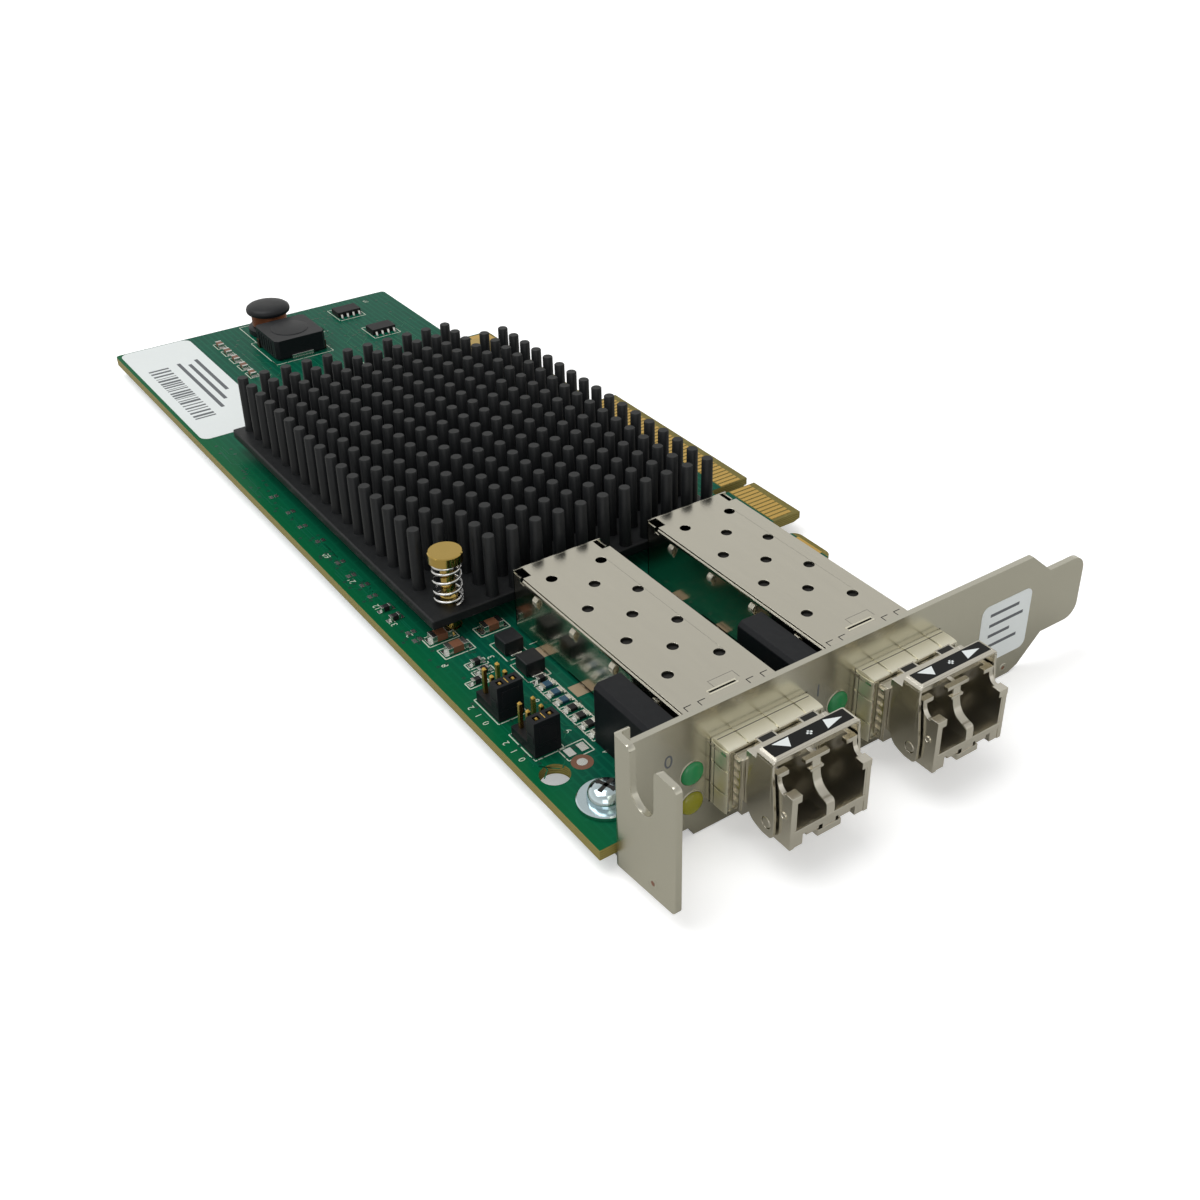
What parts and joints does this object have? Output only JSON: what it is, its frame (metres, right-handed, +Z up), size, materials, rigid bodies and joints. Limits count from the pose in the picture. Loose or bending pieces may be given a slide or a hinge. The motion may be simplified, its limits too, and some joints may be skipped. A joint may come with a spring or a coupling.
{
  "type": "fibre channel adapter",
  "caption": "Expansion card with pin-fin heatsink, slot bracket and caged optical port modules with bail latches.",
  "frame": {"origin": "tip of the edge tongue at the middle of its key notch, on the component side of the board", "axes": "+X along the board towards the bracket, +Y towards the slot that the tongue enters, +Z up from the component side"},
  "size_m": [0.1817, 0.0809, 0.0208],
  "materials": {
    "black_anodised": "black anodised",
    "black_plastic": "moulded",
    "board": "satin solder mask",
    "bracket_steel": "nickel plated steel",
    "brass": "bright turned",
    "chip": "matt moulding compound",
    "chip_tan": "ceramic",
    "die_cast": "nickel plated casting",
    "ferrite": "ferrite",
    "gold": "gold plated",
    "laminate": "bare laminate",
    "lens_green": "clear green",
    "lens_yellow": "clear yellow",
    "nickel_sheet": "nickel plated sheet",
    "pad": "soft pad",
    "screw_steel": "zinc plated",
    "sleeve": "ceramic sleeve",
    "spring_steel": "bright wire"
  },
  "bodies": {
    "adapter": {"board": "board", "box_coil": "ferrite", "bracket": "bracket_steel", "bracket_screws": "screw_steel", "bracket_washers": "screw_steel", "cage_1": "nickel_sheet", "cage_2": "nickel_sheet", "cage_connector_1": "black_plastic", "cage_connector_2": "black_plastic", "cage_gasket_1": "nickel_sheet", "cage_gasket_2": "nickel_sheet", "chip_capacitors": "chip_tan", "chip_resistors": "chip", "controller_chip": "chip", "drum_coil": "ferrite", "edge_contacts_bottom": "gold", "edge_contacts_top": "gold", "header_body_1": "black_plastic", "header_body_2": "black_plastic", "header_pins": "gold", "heatsink": "black_anodised", "jumper_caps": "black_plastic", "lenses_lower": "lens_yellow", "lenses_upper": "lens_green", "light_block_1": "black_plastic", "light_block_2": "black_plastic", "module_edge_1": "laminate", "module_edge_2": "laminate", "module_housing_1": "die_cast", "module_housing_2": "die_cast", "optical_sleeves_1": "sleeve", "optical_sleeves_2": "sleeve", "push_pin_front": "brass", "push_pin_rear": "brass", "push_pin_spring_front": "spring_steel", "push_pin_spring_rear": "spring_steel", "rear_chips": "chip", "small_coils": "ferrite", "tab_lands": "gold", "thermal_pad": "pad"},
    "bail_1": {"bail_1": "die_cast"},
    "bail_2": {"bail_2": "die_cast"}
  },
  "joints": [
    {"name": "bail_hinge_1", "type": "hinge", "parent": "adapter", "child": "bail_1", "pos_m": [0.06808, -0.04635, 0.0036], "axis": [0, 1, 0], "range_deg": [0, 90]},
    {"name": "bail_hinge_2", "type": "hinge", "parent": "adapter", "child": "bail_2", "pos_m": [0.06808, -0.02365, 0.0036], "axis": [0, 1, 0], "range_deg": [0, 90]}
  ]
}
